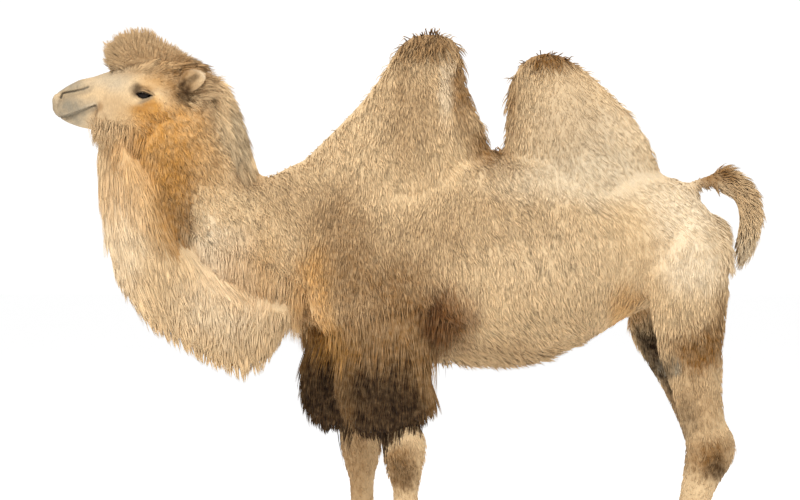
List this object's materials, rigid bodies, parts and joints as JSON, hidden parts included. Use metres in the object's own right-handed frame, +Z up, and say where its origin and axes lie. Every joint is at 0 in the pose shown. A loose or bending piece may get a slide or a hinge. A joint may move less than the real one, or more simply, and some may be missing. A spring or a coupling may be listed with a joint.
{
  "type": "Bactrian camel",
  "caption": "Life-size standing two-humped camel in a thick woolly coat, with a bearded throat and long forearm hair, resting on its broad feet.",
  "frame": {"origin": "on the floor, under the middle of the box that holds the whole animal", "axes": "+Z up, the camel looks along -X, its left side is at -Y"},
  "size_m": [2.499, 0.6776, 2.087],
  "materials": {
    "woolly_coat": "matt fine wool in short lying tufts",
    "leg_coat": "matt short hair",
    "face_coat": "matt velvety short hair",
    "long_pale_hair": "soft long straight hair",
    "long_dark_hair": "soft long straight hair",
    "bare_callus": "dry, finely cracked bare skin",
    "nail": "worn dark horn",
    "eye": "wet and glossy"
  },
  "bodies": {
    "root": {"left_upper_arm": "woolly_coat", "left_forearm": "woolly_coat", "left_knee": "leg_coat", "left_fore_cannon": "leg_coat", "left_fore_foot": "leg_coat", "left_fore_outer_nail": "nail", "left_fore_inner_nail": "nail", "right_upper_arm": "woolly_coat", "right_forearm": "woolly_coat", "right_knee": "leg_coat", "right_fore_cannon": "leg_coat", "right_fore_foot": "leg_coat", "right_fore_inner_nail": "nail", "right_fore_outer_nail": "nail", "left_thigh": "woolly_coat", "left_gaskin": "woolly_coat", "left_hock": "leg_coat", "left_hind_cannon": "leg_coat", "left_hind_foot": "leg_coat", "left_hind_outer_nail": "nail", "left_hind_inner_nail": "nail", "right_thigh": "woolly_coat", "right_gaskin": "woolly_coat", "right_hock": "leg_coat", "right_hind_cannon": "leg_coat", "right_hind_foot": "leg_coat", "right_hind_inner_nail": "nail", "right_hind_outer_nail": "nail", "trunk": "woolly_coat", "chest_pad": "bare_callus", "front_hump": "woolly_coat", "rear_hump": "woolly_coat", "neck_lower": "woolly_coat", "neck_upper": "woolly_coat", "head": "face_coat", "lower_jaw": "face_coat", "left_eye": "eye", "left_ear": "face_coat", "right_eye": "eye", "right_ear": "face_coat", "forelock": "long_pale_hair", "nape_mane": "long_pale_hair", "beard": "long_pale_hair", "tail_root": "woolly_coat", "tail_tip": "woolly_coat", "left_forearm_hair": "long_dark_hair", "right_forearm_hair": "long_dark_hair"}
  },
  "joints": []
}
